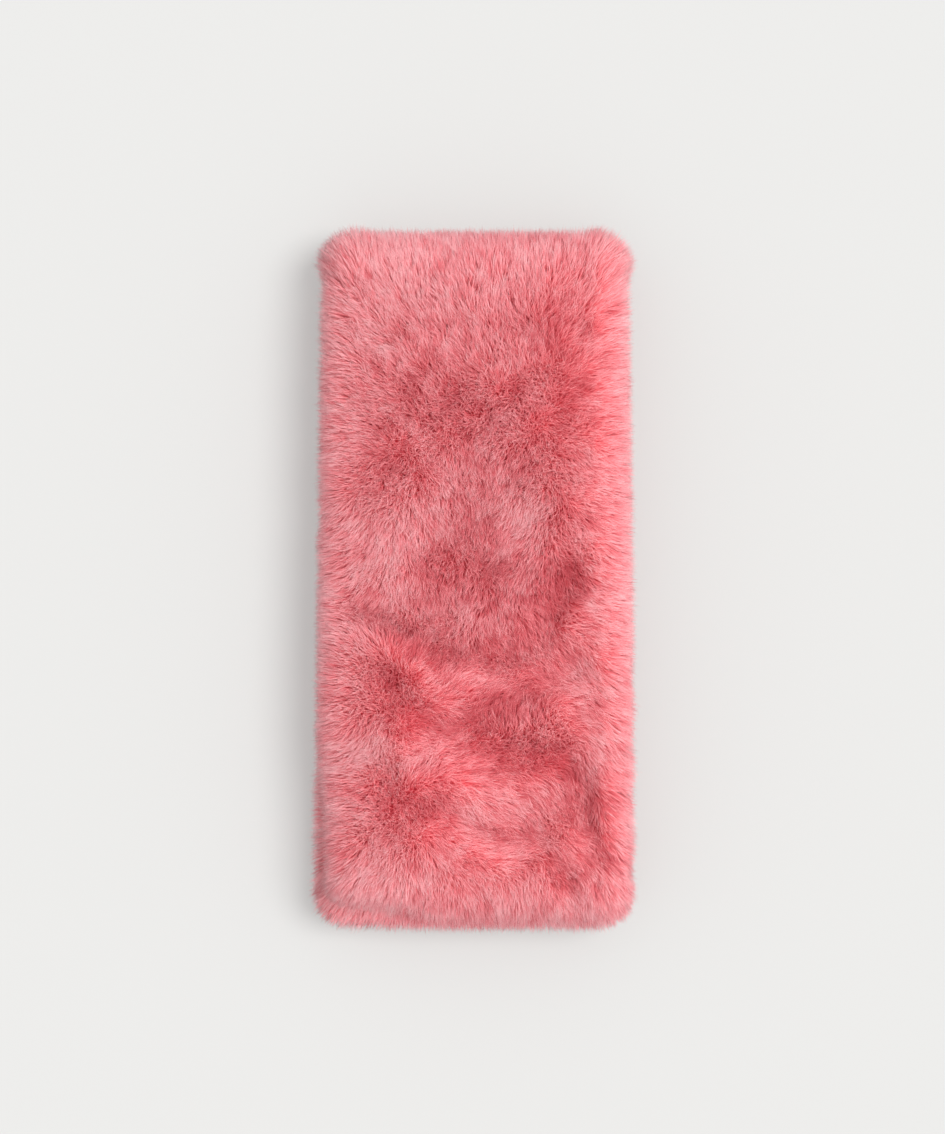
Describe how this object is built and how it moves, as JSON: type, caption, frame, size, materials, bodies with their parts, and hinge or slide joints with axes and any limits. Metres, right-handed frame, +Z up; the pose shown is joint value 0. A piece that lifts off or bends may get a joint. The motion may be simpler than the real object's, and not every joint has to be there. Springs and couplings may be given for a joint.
{
  "type": "spa headband",
  "caption": "Plush faux-fur spa headband laid flat: a padded, lined closed loop with an elastic at the back that opens to go round a head.",
  "frame": {"origin": "middle of the underside that the flattened band lies on", "axes": "+Z up out of the front layer; +Y along the flattened loop towards its far fold; +X across the band"},
  "size_m": [0.104, 0.234, 0.0366],
  "materials": {
    "fur": "dense soft plush pile, coral pink",
    "lining": "smooth knitted cloth, pale pink",
    "wadding": "matte off-white fleece wadding",
    "thread": "polyester sewing thread with a slight sheen, pink",
    "elastic": "woven flat elastic, white",
    "tape": "twill tape, pink",
    "label": "blank satin-woven label, white"
  },
  "bodies": {
    "back_section": {"back_fur_panel": "fur", "back_lining": "lining", "back_wadding": "wadding", "back_left_seam_thread": "thread", "back_right_seam_thread": "thread", "elastic_band": "elastic", "care_label": "label", "far_elastic_tack": "thread", "far_join_thread": "thread", "far_join_tape": "tape", "near_elastic_tack": "thread", "near_join_thread": "thread", "near_join_tape": "tape"},
    "front_section": {"front_fur_panel": "fur", "front_lining": "lining", "front_wadding": "wadding", "front_left_seam_thread": "thread", "front_right_seam_thread": "thread"}
  },
  "joints": [
    {"name": "loop_open", "type": "slide", "parent": "back_section", "child": "front_section", "axis": [0, 0, 1], "range_m": [0, 0.04], "stiffness_N_per_m": 150}
  ]
}
